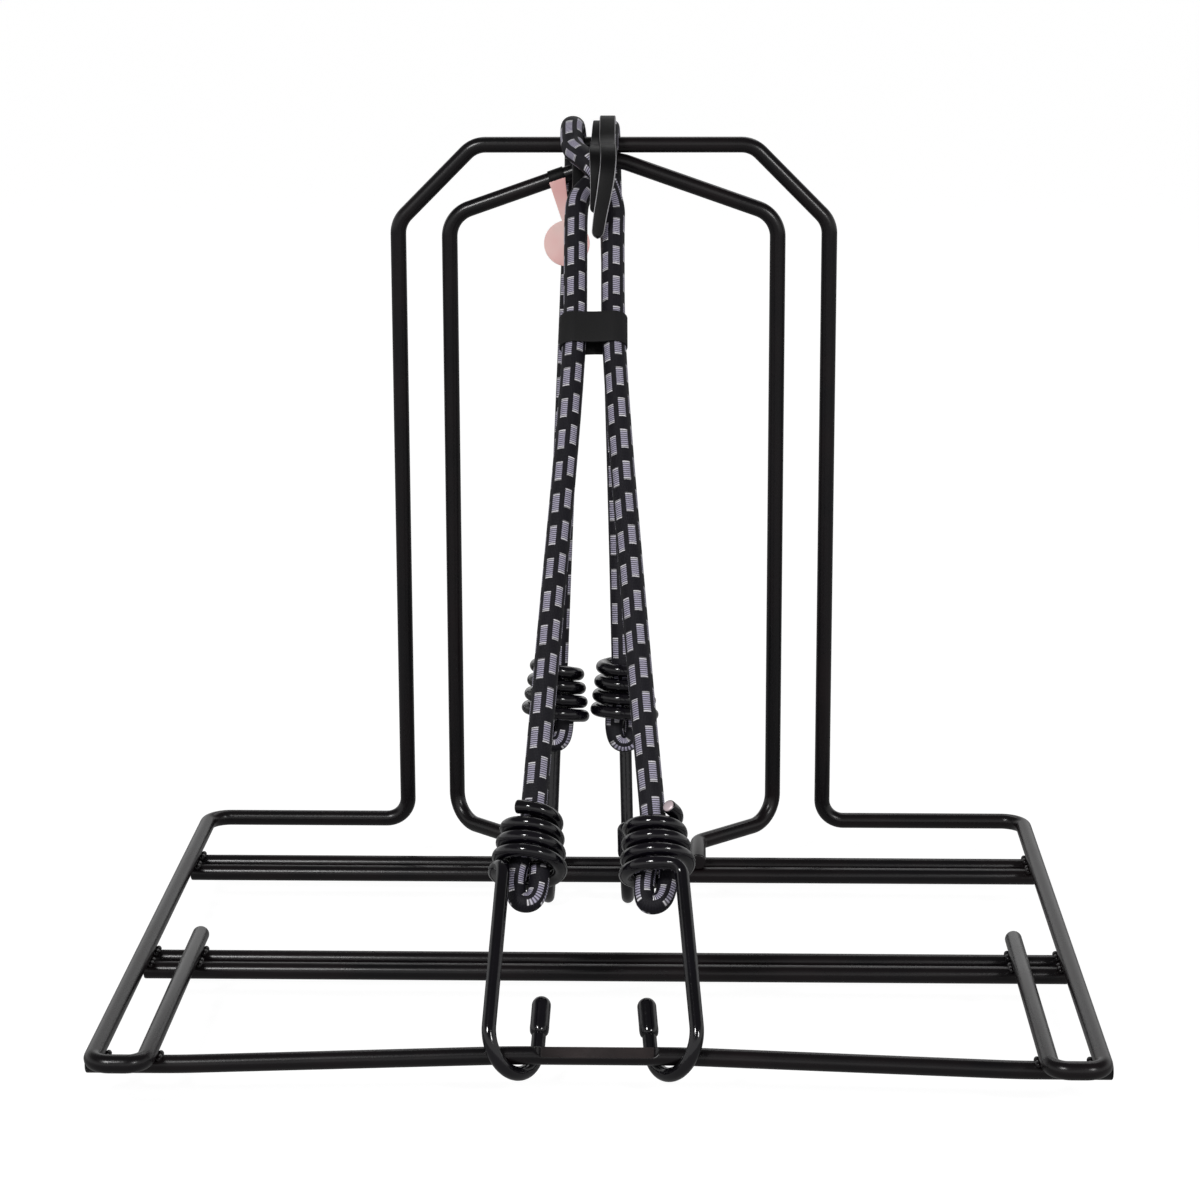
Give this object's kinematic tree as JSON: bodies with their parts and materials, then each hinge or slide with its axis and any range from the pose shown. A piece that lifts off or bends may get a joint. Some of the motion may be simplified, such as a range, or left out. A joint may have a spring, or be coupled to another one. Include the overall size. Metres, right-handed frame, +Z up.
{
  "type": "luggage rack",
  "caption": "Wire luggage rack with a flat base, an upright hoop back with an inner brace, and bungee cords tied down by coiled hooks to a bar at the front and a pair of wires at the back",
  "frame": {"origin": "centre of the footprint, at the level of the bottoms of the rear hooks", "axes": "+Z up, -Y to the front where the hook bar is, +X to the right seen from the front"},
  "size_m": [0.3512, 0.3014, 0.3178],
  "materials": {
    "black_wire": "satin black powder coat on round steel wire",
    "hook_coating": "glossy black dip on steel wire",
    "cord_braid": "black braid with pale tracer dashes",
    "strap": "soft black, slightly shiny",
    "band": "black elastic sleeve",
    "tag_card": "pale pink card, blank"
  },
  "bodies": {
    "frame": {"outer_frame_wire": "black_wire", "inner_brace_wire": "black_wire", "rear_cross_wire_back": "black_wire", "rear_cross_wire_front": "black_wire", "front_cross_wire_back": "black_wire", "front_cross_wire_front": "black_wire", "hook_bar": "black_wire", "front_left_cord": "cord_braid", "front_right_cord": "cord_braid", "rear_left_cord": "cord_braid", "rear_right_cord": "cord_braid", "top_strap": "strap"},
    "front_left_hook": {"front_left_hook": "hook_coating", "front_left_hook_tip": "hook_coating", "front_left_cord_end": "cord_braid"},
    "front_right_hook": {"front_right_hook": "hook_coating", "front_right_hook_tip": "hook_coating", "front_right_cord_end": "cord_braid"},
    "rear_left_hook": {"rear_left_hook": "hook_coating", "rear_left_hook_tip": "hook_coating", "rear_left_cord_end": "cord_braid"},
    "rear_right_hook": {"rear_right_hook": "hook_coating", "rear_right_hook_tip": "hook_coating", "rear_right_cord_end": "cord_braid"},
    "cord_band": {"cord_band": "band"},
    "tag": {"tag": "tag_card"}
  },
  "joints": [
    {"name": "front_left_hook_pull", "type": "slide", "parent": "frame", "child": "front_left_hook", "axis": [-0.0551, -0.6614, -0.748], "range_m": [0, 0.025], "stiffness_N_per_m": 200, "deforming": ["front_left_cord"]},
    {"name": "front_right_hook_pull", "type": "slide", "parent": "frame", "child": "front_right_hook", "axis": [0.0919, -0.6596, -0.746], "range_m": [0, 0.025], "stiffness_N_per_m": 200, "deforming": ["front_right_cord"]},
    {"name": "rear_left_hook_pull", "type": "slide", "parent": "frame", "child": "rear_left_hook", "axis": [-0.0341, -0.2015, -0.9789], "range_m": [0, 0.025], "stiffness_N_per_m": 200, "deforming": ["rear_left_cord"]},
    {"name": "rear_right_hook_pull", "type": "slide", "parent": "frame", "child": "rear_right_hook", "axis": [0.0245, -0.1984, -0.9798], "range_m": [0, 0.025], "stiffness_N_per_m": 200, "deforming": ["rear_right_cord"]},
    {"name": "band_slide", "type": "slide", "parent": "frame", "child": "cord_band", "axis": [-0.0147, 0.6623, 0.7491], "range_m": [0, 0.04]},
    {"name": "tag_swing", "type": "hinge", "parent": "frame", "child": "tag", "pos_m": [-0.0225, 0.1355, 0.28951], "axis": [0.9439, 0, 0.3304], "range_deg": [-25, 0]}
  ]
}
